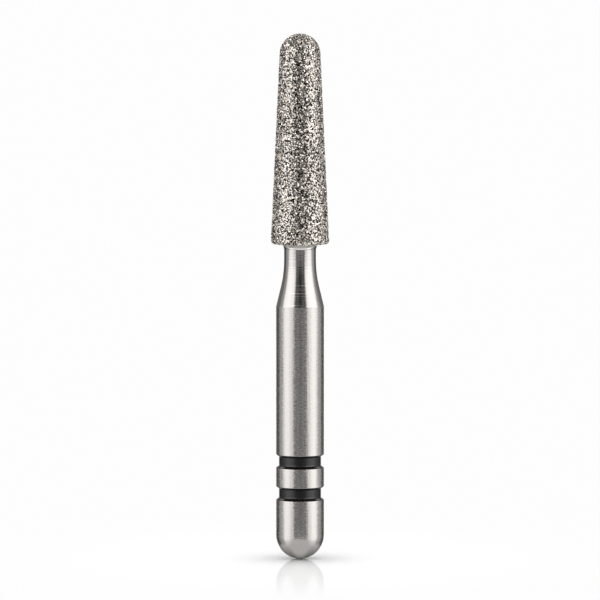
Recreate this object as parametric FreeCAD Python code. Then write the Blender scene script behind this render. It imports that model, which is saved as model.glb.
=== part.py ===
"""Round-end tapered diamond bur with a friction-grip shank, in millimetres.

The axis of the bur is Z. The origin is the lowest point of the shank's round end, and the head is up.
The bur is four solids: the turned steel blank, the plated diamond layer on its head,
and a ring of black enamel in each of the two marking grooves.
"""
import FreeCAD, Part
import math
import os
import random

from FreeCAD import Vector

# Lengths along the axis, from the shank's round end up: the taper's length follows from its angle
shank_length = 8.44
neck_length = 0.97
head_length = 7.00

# Working head, measured over the grit
head_base_diameter = 2.00
tip_radius = 0.69
rim_rounding = 0.12

# Plated diamond layer
plating_thickness = 0.18
grain_pitch = 0.115
grain_relief = 0.035
fewest_grains_in_ring = 6
grain_seed = 11

# Shank, neck and the taper between them
shank_diameter = 1.60
shank_edge_rounding = 0.020
neck_diameter = 1.065
neck_taper_angle = 13.8
neck_taper_blend = 3.50
collar_fillet = 0.20

# Marking grooves and the enamel in them
lower_groove_height = 2.20
groove_pitch = 1.07
groove_floor_width = 0.30
groove_chamfer_height = 0.075
groove_chamfer_depth = 0.102
enamel_thickness = 0.06
enamel_crown = 0.012

# Points nearer than this are one point
meeting_distance = 1e-6

# Places that follow from the sizes above
axis_foot = Vector(0, 0, 0)
axis_direction = Vector(0, 0, 1)
shank_radius = shank_diameter / 2
neck_radius = neck_diameter / 2
collar_radius = neck_radius + collar_fillet
taper_length = (shank_radius - neck_radius) / math.tan(math.radians(neck_taper_angle))
neck_start_height = shank_length + taper_length
head_base_height = neck_start_height + neck_length
core_base_height = head_base_height + plating_thickness
tip_centre_height = head_base_height + head_length - tip_radius
enamel_radius = shank_radius - groove_chamfer_depth
groove_floor_radius = enamel_radius - enamel_thickness
ring_names = ["lower_black_ring", "upper_black_ring"]
groove_heights = [lower_groove_height + i * groove_pitch for i in range(len(ring_names))]


def head_side_angle():
    """How far the head's side leans in, in radians, so that it is tangent to the round tip."""
    rise = tip_centre_height - head_base_height
    reach = math.hypot(head_base_diameter / 2, rise)
    return math.acos(tip_radius / reach) - math.atan2(rise, head_base_diameter / 2)


def head_side_radius(height, inset):
    """Radius of the head's side at a height, that far under the outer surface."""
    lean = head_side_angle()
    return (tip_radius - inset - (height - tip_centre_height) * math.sin(lean)) / math.cos(lean)


def at(radius, height):
    """A point of an outline, in the plane that is turned about the axis."""
    return Vector(radius, 0, height)


def straight_edge(start, end):
    """A list of the straight edge between two points, or an empty list if they are one point."""
    if start.distanceToPoint(end) < meeting_distance:
        return []
    return [Part.LineSegment(start, end).toShape()]


def rounded_path(corners):
    """Edges through corners (radius, height, rounding), each corner cut by a tangent arc of its rounding."""
    edges = []
    start = at(*corners[0][:2])
    for before, here, after in zip(corners, corners[1:], corners[2:]):
        corner = at(*here[:2])
        rounding = here[2]
        back = (at(*before[:2]) - corner).normalize()
        ahead = (at(*after[:2]) - corner).normalize()
        if rounding > 0:
            half_angle = back.getAngle(ahead) / 2
            cut = rounding / math.tan(half_angle)
            inward = (back + ahead).normalize()
            middle = corner + inward * (rounding / math.sin(half_angle) - rounding)
            edges += straight_edge(start, corner + back * cut)
            edges.append(Part.Arc(corner + back * cut, middle, corner + ahead * cut).toShape())
            start = corner + ahead * cut
        else:
            edges += straight_edge(start, corner)
            start = corner
    return edges + straight_edge(start, at(*corners[-1][:2]))


def round_tip(inset):
    """The arc from the end of the head's side to the axis, that far under the outer surface."""
    radius = tip_radius - inset
    lean = head_side_angle()
    points = []
    for angle in (lean, (lean + math.pi / 2) / 2, math.pi / 2):
        points.append(at(radius * math.cos(angle), tip_centre_height + radius * math.sin(angle)))
    return Part.Arc(*points).toShape()


def head_side_top(inset):
    """Where the head's side ends and the round tip begins, as a corner with no rounding."""
    radius = tip_radius - inset
    lean = head_side_angle()
    return (radius * math.cos(lean), tip_centre_height + radius * math.sin(lean), 0)


def turned(edges):
    """The solid that an outline makes when it is closed along the axis and turned once."""
    start = edges[0].Vertexes[0].Point
    end = edges[-1].Vertexes[-1].Point
    closing = Part.LineSegment(end, start).toShape()
    face = Part.Face(Part.Wire(edges + [closing]))
    return face.revolve(axis_foot, axis_direction, 360)


def groove_corners(height):
    """Corners of one marking groove, going up: chamfer, wall, floor, wall, chamfer."""
    half_floor = groove_floor_width / 2
    half_mouth = half_floor + groove_chamfer_height
    return [
        (shank_radius, height - half_mouth, shank_edge_rounding),
        (enamel_radius, height - half_floor, 0),
        (groove_floor_radius, height - half_floor, 0),
        (groove_floor_radius, height + half_floor, 0),
        (enamel_radius, height + half_floor, 0),
        (shank_radius, height + half_mouth, shank_edge_rounding),
    ]


def core_corners():
    """Corners of the core under the diamond layer: top of the collar, back edge, end of the side."""
    return [
        (collar_radius, core_base_height, 0),
        (head_side_radius(core_base_height, plating_thickness), core_base_height, 0),
        head_side_top(plating_thickness),
    ]


def turned_blank():
    """The steel piece: round end, grooved shank, taper, neck, collar, and the core of the head."""
    corners = [(0, 0, 0), (shank_radius, 0, shank_radius)]
    for height in groove_heights:
        corners += groove_corners(height)
    corners += [
        (shank_radius, shank_length, shank_edge_rounding),
        (neck_radius, neck_start_height, neck_taper_blend),
        (neck_radius, head_base_height, collar_fillet),
        (collar_radius, head_base_height, 0),
    ]
    corners += core_corners()
    return turned(rounded_path(corners) + [round_tip(plating_thickness)])


def socket_in_layer():
    """The space that the blank's collar and core fill inside the diamond layer, run on below the head."""
    foot = head_base_height - plating_thickness
    corners = [(0, foot, 0), (collar_radius, foot, 0)] + core_corners()
    return turned(rounded_path(corners) + [round_tip(plating_thickness)])


def head_outline():
    """The head's outline over the grit: out along its underside, round the rim and up to the tip."""
    corners = [
        (0, head_base_height, 0),
        (head_side_radius(head_base_height, 0), head_base_height, rim_rounding),
        head_side_top(0),
    ]
    return Part.Wire(rounded_path(corners) + [round_tip(0)])


def grain_rings():
    """Rings of points up the head, evenly spaced and sunk at random as the tips and gaps of the grains."""
    chance = random.Random(grain_seed)
    ring_spacing = grain_pitch * math.sqrt(3) / 2
    stations = head_outline().discretize(Distance=ring_spacing)
    rings = [[stations[0]]]
    for before, here, after in zip(stations, stations[1:], stations[2:]):
        along = (after - before).normalize()
        inward = Vector(-along.z, 0, along.x)
        count = round(max(fewest_grains_in_ring, 2 * math.pi * here.x / grain_pitch))
        phase = chance.random() / count
        ring = []
        for i in range(count):
            sunk = here + inward * grain_relief * chance.random()
            turn = 2 * math.pi * (i / count + phase)
            ring.append(Vector(sunk.x * math.cos(turn), sunk.x * math.sin(turn), sunk.z))
        rings.append(ring)
    return rings + [[stations[-1]]]


def ring_turns(ring):
    """How far round the axis each point of a ring is, in turns, and then the first again a turn on."""
    first = math.atan2(ring[0].y, ring[0].x) / (2 * math.pi)
    return [first + i / len(ring) for i in range(len(ring) + 1)]


def band_of_triangles(lower, upper, lower_start, upper_start):
    """Triangles that join two rings, as index triples: at each step the ring that lags goes on a point."""
    lower_turns, upper_turns = ring_turns(lower), ring_turns(upper)
    triangles = []
    i = j = 0
    while i < len(lower) or j < len(upper):
        lower_here = lower_start + i % len(lower)
        upper_here = upper_start + j % len(upper)
        step_lower = j == len(upper) or (i < len(lower) and lower_turns[i + 1] <= upper_turns[j + 1])
        if step_lower:
            i += 1
            triangle = (lower_here, lower_start + i % len(lower), upper_here)
        else:
            j += 1
            triangle = (lower_here, upper_start + j % len(upper), upper_here)
        if len(set(triangle)) == 3:
            triangles.append(triangle)
    return triangles


def diamond_layer():
    """The plated diamond layer: a closed skin of small facets, hollow for the blank's core."""
    rings = grain_rings()
    points = [point for ring in rings for point in ring]
    triangles = []
    start = 0
    for lower, upper in zip(rings, rings[1:]):
        triangles += band_of_triangles(lower, upper, start, start + len(lower))
        start += len(lower)
    skin = Part.Shape()
    skin.makeShapeFromMesh((points, triangles), meeting_distance)
    return Part.Solid(Part.Shell(skin.Faces)).cut(socket_in_layer()).Solids[0]


def enamel_ring(height):
    """The black ring on a groove's floor, between the groove's walls, highest along its middle."""
    low = height - groove_floor_width / 2
    high = height + groove_floor_width / 2
    edge_radius = enamel_radius - enamel_crown
    section = Part.makePolygon([
        at(groove_floor_radius, low),
        at(edge_radius, low),
        at(enamel_radius, height),
        at(edge_radius, high),
        at(groove_floor_radius, high),
        at(groove_floor_radius, low),
    ])
    return Part.Face(section).revolve(axis_foot, axis_direction, 360)


def parts():
    """Every node's name with its solid."""
    made = {"steel_blank": turned_blank(), "diamond_layer": diamond_layer()}
    for name, height in zip(ring_names, groove_heights):
        made[name] = enamel_ring(height)
    return made


os.makedirs("parts", exist_ok=True)
for node, solid in parts().items():
    solid.exportStep(f"parts/{node}.step")
    print(f"{node}: {solid.Volume:.4f} mm3, {len(solid.Faces)} faces, {len(solid.Solids)} solid")
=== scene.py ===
# %% [markdown]
# # A round-end diamond bur
#
# A dental bur is one slim rod of stainless steel. Its shank is ground to fit a turbine, its neck is
# turned down, and its head is plated with nickel that holds thousands of diamond grains. Two grooves
# near the round tail carry rings of black enamel that mark the grade.
#
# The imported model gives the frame: the sizes of the steel and the enamel repeat that model's, and the
# head is fitted inside its box. The steel, the enamel and the plating are modelled again with finer
# curves, and the grains are added one by one, because at this scale the grain is the look of the
# thing.

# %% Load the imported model
import math
import random

import bmesh
import bpy
from mathutils import Matrix, Vector


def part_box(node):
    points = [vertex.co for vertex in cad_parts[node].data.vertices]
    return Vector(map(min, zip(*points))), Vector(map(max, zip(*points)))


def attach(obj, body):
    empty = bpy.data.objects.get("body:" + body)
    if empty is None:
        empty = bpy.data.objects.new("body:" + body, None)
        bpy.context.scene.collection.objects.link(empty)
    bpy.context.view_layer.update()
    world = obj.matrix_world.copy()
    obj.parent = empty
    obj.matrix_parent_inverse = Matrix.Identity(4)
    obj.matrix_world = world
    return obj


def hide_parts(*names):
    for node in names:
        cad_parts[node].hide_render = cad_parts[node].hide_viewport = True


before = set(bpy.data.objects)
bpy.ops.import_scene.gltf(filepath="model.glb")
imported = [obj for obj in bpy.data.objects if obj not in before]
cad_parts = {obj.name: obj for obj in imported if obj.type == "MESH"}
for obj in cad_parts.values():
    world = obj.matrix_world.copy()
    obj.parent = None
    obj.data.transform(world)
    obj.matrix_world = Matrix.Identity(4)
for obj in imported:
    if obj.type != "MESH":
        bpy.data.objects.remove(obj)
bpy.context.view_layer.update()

# %% [markdown]
# ## A lathe for outlines
#
# Everything smooth on a bur was turned, so each piece starts as half a silhouette beside the Z axis.
# A spline would only come near the real arcs. Here a vertex is carried along instead: straight runs
# are extruded, and each rounded corner is a spin of that one vertex about the arc's own centre. A
# second spin, round the Z axis, then turns the finished line into a skin.

# %% Draw an outline from corners
MM = 0.001
arc_step = math.radians(6)
same_place = 0.0001 * MM


def at(radius, height):
    """A place in the plane of the outline, from millimetres."""
    return Vector((radius * MM, 0, height * MM))


def run_to(outline, tip, place):
    """Carry the line straight on from its last vertex."""
    if (tip.co - place).length < same_place:
        return tip
    tip = bmesh.ops.extrude_vert_indiv(outline, verts=[tip])["verts"][0]
    tip.co = place
    return tip


def curve_to(outline, tip, centre, place):
    """Carry the line on along an arc about a centre."""
    spoke, last_spoke = tip.co - centre, place - centre
    turn = math.copysign(spoke.angle(last_spoke), spoke.cross(last_spoke).y)
    steps = max(2, math.ceil(abs(turn) / arc_step))
    spun = bmesh.ops.spin(outline, geom=[tip], cent=centre, axis=(0, 1, 0), angle=turn, steps=steps)
    return next(item for item in spun["geom_last"] if isinstance(item, bmesh.types.BMVert))


def lathe_outline(corners):
    """A line through corners (radius, height, rounding), with an arc of its rounding at each corner."""
    outline = bmesh.new()
    tip = outline.verts.new(at(*corners[0][:2]))
    for before, here, after in zip(corners, corners[1:], corners[2:]):
        corner, rounding = at(*here[:2]), here[2] * MM
        back = (at(*before[:2]) - corner).normalized()
        ahead = (at(*after[:2]) - corner).normalized()
        if rounding > 0:
            half_angle = back.angle(ahead) / 2
            cut = rounding / math.tan(half_angle)
            centre = corner + (back + ahead).normalized() * rounding / math.sin(half_angle)
            tip = run_to(outline, tip, corner + back * cut)
            tip = curve_to(outline, tip, centre, corner + ahead * cut)
        else:
            tip = run_to(outline, tip, corner)
    run_to(outline, tip, at(*corners[-1][:2]))
    return outline


# %% Turn an outline into a piece
segments_round = 192
crease_angle = math.radians(25)


def piece_from(name, shape):
    """Make a finished bmesh an object at the origin."""
    mesh = bpy.data.meshes.new(name)
    shape.to_mesh(mesh)
    shape.free()
    piece = bpy.data.objects.new(name, mesh)
    bpy.context.scene.collection.objects.link(piece)
    return piece


def turned_piece(name, outline):
    """Spin an outline once round the Z axis, close its poles and shade it smooth up to real edges."""
    line = outline.verts[:] + outline.edges[:]
    bmesh.ops.spin(
        outline, geom=line, cent=(0, 0, 0), axis=(0, 0, 1), angle=2 * math.pi,
        steps=segments_round, use_merge=True,
    )
    bmesh.ops.remove_doubles(outline, verts=outline.verts[:], dist=same_place)
    bmesh.ops.recalc_face_normals(outline, faces=outline.faces[:])
    for face in outline.faces:
        face.smooth = True
    piece = piece_from(name, outline)
    piece.data.set_sharp_from_angle(angle=crease_angle)
    print(name, "has", len(piece.data.polygons), "faces")
    return piece


# %% [markdown]
# ## The steel blank
#
# The blank is a single turned part: round tail, grooved shank, taper, neck, a small flare under the
# head, and the core inside the plating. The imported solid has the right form, but its facets would
# break up the long reflections that make polished steel look like steel. So the same corners are
# drawn again with true arcs and many more steps round the axis.

# %% Sizes of the blank, in millimetres
shank_radius = 0.80
shank_length = 8.44
shank_edge_rounding = 0.020
neck_radius = 0.5325
neck_length = 0.97
neck_taper_angle = math.radians(13.8)
neck_taper_blend = 3.50
collar_fillet = 0.20
collar_radius = neck_radius + collar_fillet
neck_start = shank_length + (shank_radius - neck_radius) / math.tan(neck_taper_angle)
head_base = neck_start + neck_length

groove_heights = {"lower_black_ring": 2.20, "upper_black_ring": 3.27}
groove_half_floor = 0.15
groove_chamfer_height = 0.075
groove_chamfer_depth = 0.102
enamel_thickness = 0.06
enamel_radius = shank_radius - groove_chamfer_depth
groove_floor_radius = enamel_radius - enamel_thickness


def groove_corners(height):
    """Going up: chamfer, wall, floor, wall, chamfer."""
    half_mouth = groove_half_floor + groove_chamfer_height
    return [
        (shank_radius, height - half_mouth, shank_edge_rounding),
        (enamel_radius, height - groove_half_floor, 0),
        (groove_floor_radius, height - groove_half_floor, 0),
        (groove_floor_radius, height + groove_half_floor, 0),
        (enamel_radius, height + groove_half_floor, 0),
        (shank_radius, height + half_mouth, shank_edge_rounding),
    ]


# %% [markdown]
# ## The outline of the head
#
# The head is a slim cone that runs into a round tip. Three lines share that form: the outermost
# reach of the grains, the skin of the nickel below it, and the steel core inside. Each is the same
# outline moved in by a known depth, so the cone keeps its lean and the tip keeps its centre.

# %% Work out the head's line at any depth
head_node_low, head_node_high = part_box("diamond_layer")
grain_reach_radius = min(-head_node_low.x, head_node_high.x, -head_node_low.y, head_node_high.y) / MM
grain_reach_top = head_node_high.z / MM
head_low = head_node_low.z / MM
tip_radius = 0.685
tip_centre = grain_reach_top - tip_radius
rim_rounding = 0.12
plating_thickness = 0.18

rise = tip_centre - head_low
slant = math.hypot(grain_reach_radius, rise)
lean = math.acos(tip_radius / slant) - math.atan2(rise, grain_reach_radius)
print("the side of the head leans in by", round(math.degrees(lean), 2), "degrees")


def side_radius(height, depth):
    """Radius of the head's side at a height, at a depth under the reach of the grains."""
    return (tip_radius - depth - (height - tip_centre) * math.sin(lean)) / math.cos(lean)


def tip_corners(depth):
    """The round tip as four corners with one rounding, from the end of the side to the axis."""
    radius = tip_radius - depth
    quarter = math.radians(90) - lean
    end_of_side = (radius * math.cos(lean), tip_centre + radius * math.sin(lean), 0)
    shoulder_height = tip_centre + radius
    shoulder_run = radius * math.tan(quarter / 2)
    return [end_of_side, (shoulder_run, shoulder_height, radius), (0, shoulder_height, 0)]


def head_corners(depth):
    """The head's outline at a depth, from the flare under it, round the rim and up to the tip."""
    low = head_low + depth
    return [
        (collar_radius - depth, low, 0),
        (side_radius(low, depth), low, max(rim_rounding - depth, 0)),
        *tip_corners(depth),
    ]


# %% Turn the steel blank
core_low = head_low + plating_thickness
corners = [(0, 0, 0), (shank_radius, 0, shank_radius)]
for height in groove_heights.values():
    corners += groove_corners(height)
corners += [
    (shank_radius, shank_length, shank_edge_rounding),
    (neck_radius, neck_start, neck_taper_blend),
    (neck_radius, head_base, collar_fillet),
    (collar_radius, head_base, 0),
    (collar_radius, core_low, 0),
    (side_radius(core_low, plating_thickness), core_low, 0),
    *tip_corners(plating_thickness),
]
steel = turned_piece("turned_steel", lathe_outline(corners))

# %% [markdown]
# ## The enamel rings
#
# Enamel is filled into the groove wet, as high as the foot of the slanted shoulders, and cures with
# soft edges. The section is a small rectangle with its two outer corners rounded, spun into a ring.

# %% Turn a ring for each groove
enamel_corner_rounding = 0.018


def enamel_ring(name, height):
    """A ring on the groove's floor with rounded outer edges."""
    low, high = height - groove_half_floor, height + groove_half_floor
    section = lathe_outline([
        (groove_floor_radius, height, 0),
        (groove_floor_radius, low, 0),
        (enamel_radius, low, enamel_corner_rounding),
        (enamel_radius, high, enamel_corner_rounding),
        (groove_floor_radius, high, 0),
        (groove_floor_radius, height, 0),
    ])
    return turned_piece(name, section)


rings = {name: enamel_ring("enamel_" + name, height) for name, height in groove_heights.items()}

# %% [markdown]
# ## The nickel between the grains
#
# Plated nickel wraps the core and rises to about half the height of each grain. Hardly any of it is
# seen, only dark gaps between the crystals, so a smooth turned shell is enough. Those gaps are dark
# from real shade and from painted shade in the nickel's colour. Its nodules come from the material.
# The shell is closed on the inside along the core, as the real layer is.

# %% Turn the plated shell
nickel_depth = 0.037
shell_corners = [
    *head_corners(nickel_depth)[::-1],
    (collar_radius, head_low + nickel_depth, 0),
    (collar_radius, core_low, 0),
    (side_radius(core_low, plating_thickness), core_low, 0),
    *tip_corners(plating_thickness),
]
nickel = turned_piece("plated_nickel", lathe_outline(shell_corners))

# %% [markdown]
# ## Diamond grains
#
# Diamond grit is a crop of small blocky crystals: cubes whose corners were cut off by the flat faces
# of an octahedron, no two alike. A bumpy noise texture gives soft hills, never flat mirrors. Real
# planes give the hard glints, so a cube is cut by planes, and each shape is repeated at many sizes
# and tilts. Only the four outer corners are cut, because the nickel hides the others.

# %% Cut a handful of crystals
grain_shape_count = 12
corner_cut_near = 0.54
corner_cut_far = 0.72
corner_cut_wander = 0.22
chance = random.Random(5)


def crystal(number):
    """A cube of size 1 with its four outer corners cut off at different depths."""
    shape = bmesh.new()
    bmesh.ops.create_cube(shape, size=1.0)
    outer_corners = [vertex.co.copy() for vertex in shape.verts if vertex.co.z > 0]
    for corner in outer_corners:
        wander = Vector([chance.uniform(-corner_cut_wander, corner_cut_wander) for axis in "xyz"])
        direction = (corner + wander).normalized()
        cut = bmesh.ops.bisect_plane(
            shape, geom=shape.verts[:] + shape.edges[:] + shape.faces[:],
            plane_co=direction * chance.uniform(corner_cut_near, corner_cut_far),
            plane_no=direction, clear_outer=True,
        )
        edges = [item for item in cut["geom_cut"] if isinstance(item, bmesh.types.BMEdge)]
        if edges:
            bmesh.ops.edgeloop_fill(shape, edges=edges)
    bmesh.ops.recalc_face_normals(shape, faces=shape.faces[:])
    mesh = bpy.data.meshes.new("crystal_" + str(number))
    shape.to_mesh(mesh)
    shape.free()
    return mesh


crystals = [crystal(number) for number in range(grain_shape_count)]
print("faces on each crystal:", [len(mesh.polygons) for mesh in crystals])

# %% [markdown]
# ## Sowing the grains
#
# Rings or rows of grains would show as a pattern. Instead the outline is walked from the flare to
# the tip. Each time the surface that was passed is one grain's share, a grain is set a golden angle
# further round the axis, which spreads them evenly with no rows. Every grain is turned and tilted by
# chance, and pushed in until its highest point just meets the reach of the grit.

# %% Walk the outline and collect places
grain_spacing = 0.042 * MM
golden_turn = math.pi * (3 - math.sqrt(5))


def sowing_places():
    """Places on the reach of the grains and the outward direction there, evenly spread."""
    line = lathe_outline(head_corners(0))
    points = [vertex.co.copy() for vertex in line.verts]
    line.free()
    strip = grain_spacing ** 2 / (2 * math.pi * grain_reach_radius * MM)
    passed, turn = 0.0, 0.0
    places = []
    for start, end in zip(points, points[1:]):
        along = end - start
        outward = Vector((along.z, 0, -along.x)).normalized()
        steps = math.ceil(along.length / strip)
        for step in range(steps):
            here = start.lerp(end, step / steps)
            passed += 2 * math.pi * here.x * along.length / steps
            if passed > grain_spacing ** 2:
                passed -= grain_spacing ** 2
                turn += golden_turn
                round_axis = Matrix.Rotation(turn, 3, "Z")
                places.append((round_axis @ here, round_axis @ outward))
    return places


places = sowing_places()
print(len(places), "grains are sown")

# %% Set a crystal at every place
grain_size = 0.050 * MM
grain_size_spread = 0.22
grain_tilt = math.radians(20)
grain_sink = 0.021 * MM
place_wander = 0.30
grain_piece_count = 4


def grain_turn(outward):
    """A random turn and stretch of a crystal that stands on the surface."""
    least, most = 1 - grain_size_spread, 1 + grain_size_spread
    stretch = Matrix.Diagonal([grain_size * chance.uniform(least, most) for axis in "xyz"])
    spin = Matrix.Rotation(chance.uniform(0, 2 * math.pi), 3, "Z")
    tilt = Matrix.Rotation(chance.gauss(0, 1) * grain_tilt, 3, "X")
    return outward.to_track_quat("Z", "Y").to_matrix() @ spin @ tilt @ stretch


def set_grains(name, spots):
    """One piece with a crystal at each spot, and a tone for each grain and each of its faces."""
    bed = bmesh.new()
    grain_tones, facet_tones = [], []
    for place, outward in spots:
        shape = chance.choice(crystals)
        turn = grain_turn(outward)
        highest = max((turn @ vertex.co).dot(outward) for vertex in shape.vertices)
        sideways = Vector([
            chance.uniform(-place_wander, place_wander) * grain_spacing for axis in "xyz"
        ])
        sideways -= outward * sideways.dot(outward)
        sunk = outward * (highest + grain_sink * chance.random())
        grain = shape.copy()
        grain.transform(Matrix.Translation(place + sideways - sunk) @ turn.to_4x4())
        bed.from_mesh(grain, face_normals=False, vertex_normals=False)
        bpy.data.meshes.remove(grain)
        grain_tones += [chance.random()] * len(shape.polygons)
        facet_tones += [chance.random() for face in shape.polygons]
    piece = piece_from(name, bed)
    for label, tones in (("grain_tone", grain_tones), ("facet_tone", facet_tones)):
        piece.data.attributes.new(label, "FLOAT", "FACE").data.foreach_set("value", tones)
    piece.data.update()
    print(name, "has", len(spots), "grains and", len(piece.data.polygons), "faces")
    return piece


grain_pieces = [
    set_grains("diamond_grains_" + str(number), places[number::grain_piece_count])
    for number in range(grain_piece_count)
]

# %% [markdown]
# ## Helpers for materials
#
# Every finish below is built from nodes. One helper makes a node, sets its options and fills or
# joins its sockets, so that each effect reads as a short list. A few more are short forms for the
# nodes that come back most. Marks that several finishes share are node groups with named sockets.

# %% Make nodes
def node(tree, kind, options=None, sockets=None):
    """A new node with its options set, and its sockets given a value or joined to another node."""
    made = tree.nodes.new(kind)
    for label, value in (options or {}).items():
        setattr(made, label, value)
    for label, value in (sockets or {}).items():
        if isinstance(value, bpy.types.NodeSocket):
            tree.links.new(value, made.inputs[label])
        else:
            made.inputs[label].default_value = value
    return made


def calculate(tree, operation, *values):
    """The result of a Math node."""
    return node(tree, "ShaderNodeMath", {"operation": operation}, dict(enumerate(values))).outputs[0]


def ramp(tree, value, span, ends=(0.0, 1.0), eased=True):
    """A number that goes from one end to the other while a value crosses a span."""
    options = {"interpolation_type": "SMOOTHSTEP" if eased else "LINEAR"}
    return node(tree, "ShaderNodeMapRange", options, {
        "Value": value, "From Min": span[0], "From Max": span[1], "To Min": ends[0], "To Max": ends[1],
    }).outputs[0]


def bump(tree, height, depth, normal=None):
    """The surface's normal, or the one given, bent by a height that stands up to a depth."""
    sockets = {"Height": height, "Strength": 1.0, "Distance": depth}
    if normal:
        sockets["Normal"] = normal
    return node(tree, "ShaderNodeBump", sockets=sockets).outputs[0]


def mix_shaders(tree, share, first, second):
    """The first shader where the share is 0, and the second where it is 1."""
    return node(tree, "ShaderNodeMixShader", sockets={0: share, 1: first, 2: second}).outputs[0]


def glow(tree, strength):
    """An even white light."""
    return node(tree, "ShaderNodeEmission", sockets={"Strength": strength}).outputs[0]


# %% Make groups and materials
def new_group(name, inputs, outputs):
    """A shader node group with number sockets, and its two end nodes."""
    group = bpy.data.node_groups.new(name, "ShaderNodeTree")
    for label, value in inputs.items():
        socket = group.interface.new_socket(label, in_out="INPUT", socket_type="NodeSocketFloat")
        socket.default_value = value
    for label in outputs:
        group.interface.new_socket(label, in_out="OUTPUT", socket_type="NodeSocketFloat")
    return group, group.nodes.new("NodeGroupInput"), group.nodes.new("NodeGroupOutput")


def use_group(tree, group, sockets=None):
    """Place a group in a tree."""
    made = tree.nodes.new("ShaderNodeGroup")
    made.node_tree = group
    for label, value in (sockets or {}).items():
        made.inputs[label].default_value = value
    return made


def new_material(name):
    """A material with an empty Principled shader, its tree and that shader."""
    material = bpy.data.materials.new(name)
    material.use_nodes = True
    return material, material.node_tree, material.node_tree.nodes["Principled BSDF"]


# %% [markdown]
# ## Marks of the lathe and of grinding
#
# A turning tool leaves fine rings round the piece, a little uneven in depth. A grinding wheel leaves
# a short, dense hatch, and faint streaks along the axis. All of them are noise on stretched Object
# coordinates: rings change only along Z, streaks hardly change along Z, and the hatch lies between.

# %% Group the three kinds of marks
plain_detail = 2.0
fine_detail = 3.0
mark_roughness = 0.6


def marks_group(name, across, along):
    """Noise on Object coordinates, with so many features a metre across the axis and along it."""
    group, entry, end = new_group(name, {"Detail": plain_detail}, ["Height"])
    stretched = node(group, "ShaderNodeMapping", sockets={
        "Vector": node(group, "ShaderNodeTexCoord").outputs["Object"], "Scale": (across, across, along),
    })
    noise = node(group, "ShaderNodeTexNoise", sockets={
        "Vector": stretched.outputs[0], "Scale": 1.0,
        "Detail": entry.outputs["Detail"], "Roughness": mark_roughness,
    })
    group.links.new(noise.outputs[0], end.inputs["Height"])
    return group


lathe_rings = marks_group("lathe_rings", across=300, along=13000)
grinding_hatch = marks_group("grinding_hatch", across=9000, along=24000)
grinding_streaks = marks_group("grinding_streaks", across=14000, along=900)
print("groups:", [group.name for group in bpy.data.node_groups])

# %% [markdown]
# ## Stainless steel
#
# One metal carries two finishes here. The shank is ground to a satin, and the neck above it is
# turned and polished, so its reflections are crisp and crossed by fine rings. Only the roughness and
# the depth of the marks differ, so one function makes both.

# %% Make the two steel finishes
steel_colour = (0.785, 0.757, 0.728, 1.0)
hatch_span = (0.35, 0.65)


def steel_finish(name, roughness, depths):
    """Bare steel with marks of the given depths in millimetres, rougher where the hatch is high."""
    material, tree, shader = new_material(name)
    shader.inputs["Base Color"].default_value = steel_colour
    shader.inputs["Metallic"].default_value = 1.0
    hatch = use_group(tree, grinding_hatch, {"Detail": plain_detail}).outputs["Height"]
    tree.links.new(ramp(tree, hatch, hatch_span, roughness, eased=False), shader.inputs["Roughness"])
    normal = None
    for group, depth in depths.items():
        marks = use_group(tree, group, {"Detail": fine_detail})
        normal = bump(tree, marks.outputs["Height"], depth * MM, normal)
    tree.links.new(normal, shader.inputs["Normal"])
    return material


ground_shank = steel_finish("ground_shank", (0.10, 0.28), {
    lathe_rings: 0.0014, grinding_hatch: 0.0046, grinding_streaks: 0.0034,
})
polished_neck = steel_finish("polished_neck", (0.07, 0.15), {
    lathe_rings: 0.0085, grinding_hatch: 0.0008,
})

# %% [markdown]
# ## Black enamel
#
# The enamel is a thin baked paint, nearly black, with a satin gloss and a slight orange peel. The
# groove's slanted shoulders take the same black finish, so they show dark. Wet paint sagged before it
# dried, so it leans out in a narrow bead along the lower edge of each ring, and that bead catches a
# line of light.

# %% Make the enamel
enamel_colour = (0.0025, 0.0025, 0.0025, 1.0)
enamel_roughness = 0.28
enamel_refraction = 1.66
peel_bumps_per_metre = 14000
peel_depth = 0.0006 * MM
paint_bead_width = 0.060 * MM
paint_bead_height = 0.022 * MM
enamel_finish, tree, shader = new_material("black_enamel")
shader.inputs["Base Color"].default_value = enamel_colour
shader.inputs["Roughness"].default_value = enamel_roughness
shader.inputs["IOR"].default_value = enamel_refraction
place = node(tree, "ShaderNodeTexCoord").outputs["Object"]
peel = node(tree, "ShaderNodeTexNoise", sockets={
    "Vector": place, "Scale": peel_bumps_per_metre, "Detail": 1.0,
})
peeled = bump(tree, peel.outputs[0], peel_depth)

lowest, highest = (middle * MM for middle in groove_heights.values())
height = node(tree, "ShaderNodeSeparateXYZ", sockets={0: place}).outputs["Z"]
above_lowest_edge = calculate(tree, "SUBTRACT", height, lowest - groove_half_floor * MM)
above_edge = calculate(tree, "FLOORED_MODULO", above_lowest_edge, highest - lowest)
bead = ramp(tree, above_edge, (0.0, paint_bead_width), (1.0, 0.0))
tree.links.new(bump(tree, bead, paint_bead_height, peeled), shader.inputs["Normal"])

# %% [markdown]
# ## Which face has which finish
#
# The blank is one piece of steel, so its finish changes from face to face: the black enamel finish on
# the shoulders of the grooves, which keeps them dark, polish above the shank, and ground steel
# everywhere else.

# %% Give each face of the blank its finish
finishes = [ground_shank, polished_neck, enamel_finish]
for finish in finishes:
    steel.data.materials.append(finish)
half_mouth = groove_half_floor + groove_chamfer_height
bare_lip = shank_edge_rounding / 5
for face in steel.data.polygons:
    height, radius = face.center.z / MM, face.center.xy.length / MM
    in_groove = any(abs(height - groove) < half_mouth for groove in groove_heights.values())
    # The shoulders, all but a thin bare lip, take the black enamel finish, so they show dark.
    painted = in_groove and radius < shank_radius - bare_lip
    finish = enamel_finish if painted else polished_neck if height > shank_length else ground_shank
    face.material_index = finishes.index(finish)
indices = [face.material_index for face in steel.data.polygons]
print("faces by finish:", [indices.count(index) for index in range(len(finishes))])
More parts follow.
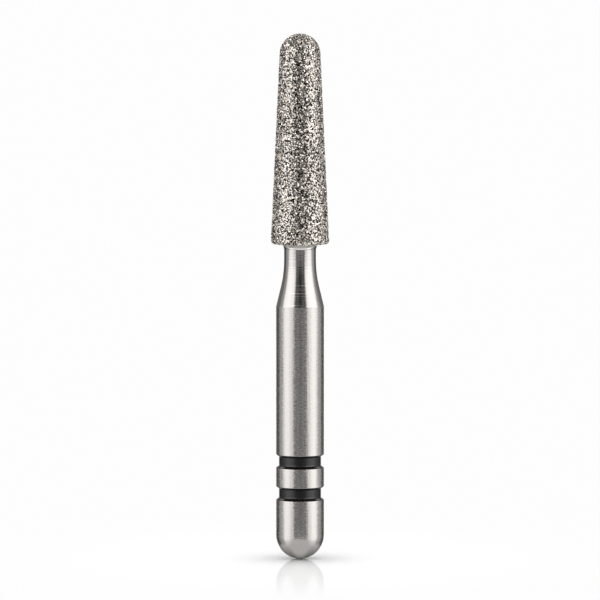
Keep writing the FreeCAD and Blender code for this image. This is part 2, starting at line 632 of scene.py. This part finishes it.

# %% [markdown]
# ## Nickel and diamond
#
# The grit reads as grey metal that sparkles. Every grain has a tone of its own, and so has every
# facet. Their sum makes a facet clear and pale or nearly black, so neighbours never shine alike. The
# nickel in the gaps is rougher, and its colour is darker than bare nickel as painted shade there.

# %% Make the grains' material
pale_grain = (1.0, 0.935, 0.865, 1.0)
dull_grain = (0.040, 0.036, 0.031, 1.0)
pale_from = (0.72, 0.92)
grain_roughness = (0.04, 0.10)
grain_finish, tree, shader = new_material("diamond_grit")
shader.inputs["Metallic"].default_value = 1.0
grain_tone = node(tree, "ShaderNodeAttribute", {"attribute_name": "grain_tone"}).outputs["Fac"]
facet_tone = node(tree, "ShaderNodeAttribute", {"attribute_name": "facet_tone"}).outputs["Fac"]
clearness = ramp(tree, calculate(tree, "ADD", facet_tone, grain_tone), pale_from)

# A Mix node keeps its colours in sockets 6 and 7, and gives them out by socket 2.
tree.links.new(node(tree, "ShaderNodeMix", {"data_type": "RGBA"}, {
    0: clearness, 6: dull_grain, 7: pale_grain,
}).outputs[2], shader.inputs["Base Color"])
roughness = ramp(tree, grain_tone, (0.0, 1.0), grain_roughness, eased=False)
tree.links.new(roughness, shader.inputs["Roughness"])

# %% Make the nickel's material
# Painted shade: the nickel's colour is made far darker than bare nickel, for the shade between grains.
nickel_colour_with_painted_shade = (0.10, 0.095, 0.09, 1.0)
nickel_roughness = 0.35
nodules_per_metre = 30000
nodule_height = 0.02 * MM
nickel_finish, tree, shader = new_material("plated_nickel")
shader.inputs["Base Color"].default_value = nickel_colour_with_painted_shade
shader.inputs["Metallic"].default_value = 1.0
shader.inputs["Roughness"].default_value = nickel_roughness
place = node(tree, "ShaderNodeTexCoord").outputs["Object"]
nodules = node(tree, "ShaderNodeTexNoise", sockets={
    "Vector": place, "Scale": nodules_per_metre, "Detail": plain_detail,
})
tree.links.new(bump(tree, nodules.outputs[0], nodule_height), shader.inputs["Normal"])

# %% [markdown]
# ## Put each piece in place of its imported node
#
# Every piece rides on the one body and takes the place of its imported node, which is hidden.
# Nickel and grains together stand for the diamond layer.

# %% Dress and place the pieces
def dress(piece, finish, packed_node):
    """Give a piece its finish, unless its faces have one, put it on the body and hide the node it
    replaces.
    """
    if finish:
        piece.data.materials.append(finish)
    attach(piece, "root")
    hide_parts(packed_node)


dress(steel, None, "steel_blank")
dress(nickel, nickel_finish, "diamond_layer")
for piece in grain_pieces:
    dress(piece, grain_finish, "diamond_layer")
for packed_ring, ring in rings.items():
    dress(ring, enamel_finish, packed_ring)

# %% [markdown]
# ## The studio
#
# Polished metal has no look of its own: it shows the room. A product photographer stands tall soft
# boxes left and right of a bur and leaves the front dark, which draws the bright stripes and the
# dark middle. Here the world shader paints the panels by azimuth and elevation, in bands: upright
# ones for the shank and neck, raised ones for the taper, and higher and lower ones for the round
# ends, the fillets and the tilted grains. Reflections alone see the panels. The floor is lit by
# plain white from everywhere, and the camera sees a plain white backdrop.

# %% Group one soft panel
def panel_group():
    """Brightness of a panel with soft edges, from the direction's azimuth and elevation in degrees."""
    group, entry, end = new_group("studio_panel", {
        "Azimuth": 0.0, "Left": 0.0, "Right": 0.0, "Side Softness": 1.0, "Elevation": 0.0, "Low": 0.0,
        "High": 0.0, "Low Softness": 1.0, "High Softness": 1.0, "Brightness": 1.0,
    }, ["Light"])
    given = entry.outputs
    light = given["Brightness"]
    for larger, smaller, softness in (
        ("Azimuth", "Left", "Side Softness"), ("Right", "Azimuth", "Side Softness"),
        ("Elevation", "Low", "Low Softness"), ("High", "Elevation", "High Softness"),
    ):
        past_edge = calculate(group, "SUBTRACT", given[larger], given[smaller])
        edge_start = calculate(group, "MULTIPLY", given[softness], -1.0)
        inside = ramp(group, past_edge, (edge_start, given[softness]))
        light = calculate(group, "MULTIPLY", light, inside)
    group.links.new(light, end.inputs["Light"])
    return group


studio_panel = panel_group()

# %% Paint the world
studio_turn = 2.0
world = bpy.data.worlds.new("studio")
bpy.context.scene.world = world
world.use_nodes = True
world.cycles.sampling_method = "NONE"
tree = world.node_tree
tree.nodes.clear()
direction = node(tree, "ShaderNodeSeparateXYZ", sockets={
    0: node(tree, "ShaderNodeTexCoord").outputs["Generated"],
})
towards_camera = calculate(tree, "MULTIPLY", direction.outputs["Y"], -1.0)
bearing = calculate(tree, "DEGREES", calculate(tree, "ARCTAN2", direction.outputs["X"], towards_camera))
azimuth = calculate(tree, "ABSOLUTE", calculate(tree, "SUBTRACT", bearing, studio_turn))
elevation = calculate(tree, "DEGREES", calculate(tree, "ARCSINE", direction.outputs["Z"]))

# Angles are in degrees. A band is its lowest and highest elevation and the softness of those two
# edges. A panel is the azimuth of its two sides and their softness, its band and its brightness.
room_level = 0.03
upright, tall = (-24, 1, 8, 3.5), (-28, 1, 11, 3.5)
raised, upper = (1, 33, 3.5, 6), (33, 42, 6, 5)
ceiling, low = (44, 95, 5, 8), (-52, -34, 9, 8)
floorward = (-95, -52, 9, 9)
panels = [
    ("dim front", (-20, 32, 8), upright, 0.125),
    ("front lines", (8, 17, 4), upright, 0.075),
    ("strip", (34, 91, 7), tall, 0.75),
    ("strip core", (53, 84, 7), tall, 0.34),
    ("side", (92, 119, 7), tall, 0.34),
    ("flag", (119, 158, 8), upright, 0.05),
    ("backdrop", (163, 200, 6), (-24, 12, 8, 4), 0.98),
    ("front wings", (9, 33, 6), raised, 0.06),
    ("raised strip", (32, 94, 7), raised, 1.13),
    ("raised core", (50, 84, 9), raised, 0.15),
    ("raised side", (94, 114, 8), raised, 0.34),
    ("raised back", (114, 200, 9), raised, 0.14),
    ("upper front", (-30, 30, 10), upper, 1.00),
    ("upper strip", (30, 95, 10), upper, 3.40),
    ("upper side", (95, 165, 12), upper, 1.75),
    ("ceiling", (-30, 200, 10), ceiling, 0.14),
    ("low front", (-30, 60, 8), low, 1.00),
    ("low strip", (60, 98, 8), low, 1.50),
    ("low side", (98, 122, 8), low, 0.80),
    ("low back", (122, 200, 8), low, 0.45),
    ("floor in front", (-30, 60, 8), floorward, 0.45),
    ("floor beside", (60, 98, 8), floorward, 0.50),
    ("floor aslant", (98, 122, 8), floorward, 0.36),
    ("floor behind", (122, 200, 8), floorward, 0.20),
]
light = room_level
for label, (left, right, side_softness), band, brightness in panels:
    bottom, top, low_softness, high_softness = band
    panel = use_group(tree, studio_panel, {
        "Left": left, "Right": right, "Side Softness": side_softness, "Low": bottom, "High": top,
        "Low Softness": low_softness, "High Softness": high_softness, "Brightness": brightness,
    })
    panel.label = label
    tree.links.new(azimuth, panel.inputs["Azimuth"])
    tree.links.new(elevation, panel.inputs["Elevation"])
    light = calculate(tree, "ADD", panel.outputs["Light"], light)
left_to_right_levels = (0.94, 1.02)
evenness = ramp(tree, direction.outputs["X"], (-1.0, 1.0), left_to_right_levels, eased=False)
light = calculate(tree, "MULTIPLY", light, evenness)
print("the studio has", len(panels), "panels")

# %% Show the studio to reflections only
white = (1, 1, 1, 1)
background_level = 0.985


def background(tree, colour, strength):
    """A light that comes from all round."""
    sockets = {"Color": colour, "Strength": strength}
    return node(tree, "ShaderNodeBackground", sockets=sockets).outputs[0]


path = node(tree, "ShaderNodeLightPath").outputs
before_floor = calculate(tree, "LESS_THAN", path["Diffuse Depth"], 0.5)
studio = background(tree, light, before_floor)
plain_for_floor = background(tree, white, 1.0)
plain_for_camera = background(tree, white, background_level)
reflected = mix_shaders(tree, path["Is Glossy Ray"], plain_for_floor, studio)
seen = mix_shaders(tree, path["Is Camera Ray"], reflected, plain_for_camera)
node(tree, "ShaderNodeOutputWorld", sockets={"Surface": seen})

# %% [markdown]
# ## The floor
#
# The bur stands on a white sheet with a trace of gloss, which mirrors the round tail and fades out
# within a bur's length. The sheet is shaded close to the tail, and there its colour is greyed as well,
# as a painted contact shadow. Further off it glows as evenly as the backdrop.
#
# In the steel the sheet looks different: dark right at the foot, where the bur shades it, then lit
# for a few millimetres, furthest in front, and past that the studio's own panels show.

# %% Lay the floor
floor_half_width = 3.0
floor_shape = bmesh.new()
bmesh.ops.create_grid(floor_shape, x_segments=1, y_segments=1, size=floor_half_width)
floor = piece_from("white_floor", floor_shape)
floor_finish = bpy.data.materials.new("white_floor")
floor_finish.use_nodes = True
floor.data.materials.append(floor_finish)

tree = floor_finish.node_tree
tree.nodes.clear()
place = node(tree, "ShaderNodeTexCoord").outputs["Object"]
distance = node(tree, "ShaderNodeVectorMath", {"operation": "LENGTH"}, {0: place}).outputs["Value"]
path = node(tree, "ShaderNodeLightPath").outputs

# %% Make the sheet that the camera sees
mirror_strength = 0.26
mirror_reach = 12 * MM
mirror_roughness = 0.05
sheet_shade_near = 1.0 * MM
sheet_shade_reach = 3.4 * MM
# Painted contact shadow: the sheet's own colour is greyed towards the foot, on top of its real shade.
painted_shadow_level_at_foot = 0.78
painted_shadow_reach = 1.8 * MM

# The sheet's colour, greyed near the foot as a painted shadow.
sheet_painted_shadow = ramp(
    tree, distance, (0.0, painted_shadow_reach), (painted_shadow_level_at_foot, background_level), eased=False)
paper = node(tree, "ShaderNodeBsdfDiffuse", sockets={"Color": sheet_painted_shadow}).outputs[0]
shaded = ramp(tree, distance, (sheet_shade_near, sheet_shade_reach), (1.0, 0.0))
white_sheet = mix_shaders(tree, shaded, glow(tree, background_level), paper)
mirror = node(tree, "ShaderNodeBsdfAnisotropic", sockets={
    "Color": white, "Roughness": mirror_roughness,
})
sheen = ramp(tree, distance, (0.0, mirror_reach), (mirror_strength, 0.0))
sheet = mix_shaders(tree, sheen, white_sheet, mirror.outputs[0])

# %% Make the sheet that the steel reflects
foot_shade_in_front = 0.62 * MM
foot_shade_at_sides = 1.30 * MM
foot_shade_turn = (10, 60)
foot_shade_on_floor = 2.6 * MM
foot_shade_level = 0.08
lit_sheet_in_front = 3.5 * MM
lit_sheet_at_sides = 1.1 * MM
lit_sheet_turn = (18, 44)
lit_sheet_blend = 0.9 * MM
lit_sheet_level = 0.50
lit_sheet_level_behind = 0.25
lit_level_turn = (60, 130)

sides = node(tree, "ShaderNodeSeparateXYZ", sockets={0: place}).outputs
aside = calculate(tree, "ABSOLUTE", sides["X"])
forward = calculate(tree, "MULTIPLY", sides["Y"], -1.0)
off_front = calculate(tree, "DEGREES", calculate(tree, "ARCTAN2", aside, forward))

shade_in_steel = ramp(tree, off_front, foot_shade_turn, (foot_shade_in_front, foot_shade_at_sides))
shade_reach = ramp(
    tree, path["Diffuse Depth"], (0.0, 1.0), (shade_in_steel, foot_shade_on_floor), eased=False)
near_foot = ramp(tree, distance, (0.0, shade_reach), (1.0, 0.0))

lit_reach = ramp(tree, off_front, lit_sheet_turn, (lit_sheet_in_front, lit_sheet_at_sides))
lit_end = calculate(tree, "ADD", lit_reach, lit_sheet_blend)
lit_level = ramp(tree, off_front, lit_level_turn, (lit_sheet_level, lit_sheet_level_behind))
lit_share = ramp(tree, distance, (lit_reach, lit_end), (1.0, 0.0))
see_through = node(tree, "ShaderNodeBsdfTransparent").outputs[0]
lit_sheet = mix_shaders(tree, lit_share, see_through, glow(tree, lit_level))
in_the_mirror = mix_shaders(tree, near_foot, lit_sheet, glow(tree, foot_shade_level))
node(tree, "ShaderNodeOutputMaterial", sockets={
    "Surface": mix_shaders(tree, path["Is Glossy Ray"], sheet, in_the_mirror),
})
print("the floor is shaded in", len(tree.nodes), "nodes")

# %% [markdown]
# ## The camera
#
# A long lens a hand's length away looks down by four degrees, so the grooves and the shoulder show
# as slight curves. The bur fills nearly the whole height of a square picture.

# %% Set the camera
camera_distance = 0.200
camera_elevation = math.radians(4.2)
camera_lens = 361
nearest_seen, furthest_seen = 0.01, 10.0
aim = Vector((0, 0, 8.64 * MM))

camera_data = bpy.data.cameras.new("long_lens")
camera_data.lens = camera_lens
camera_data.clip_start = nearest_seen
camera_data.clip_end = furthest_seen
camera = bpy.data.objects.new("long_lens", camera_data)
bpy.context.scene.collection.objects.link(camera)
line_of_sight = Vector((0, math.cos(camera_elevation), -math.sin(camera_elevation)))
camera.location = aim - line_of_sight * camera_distance
camera.rotation_euler = line_of_sight.to_track_quat("-Z", "Y").to_euler()
bpy.context.scene.camera = camera
bpy.context.scene.view_settings.view_transform = "Standard"
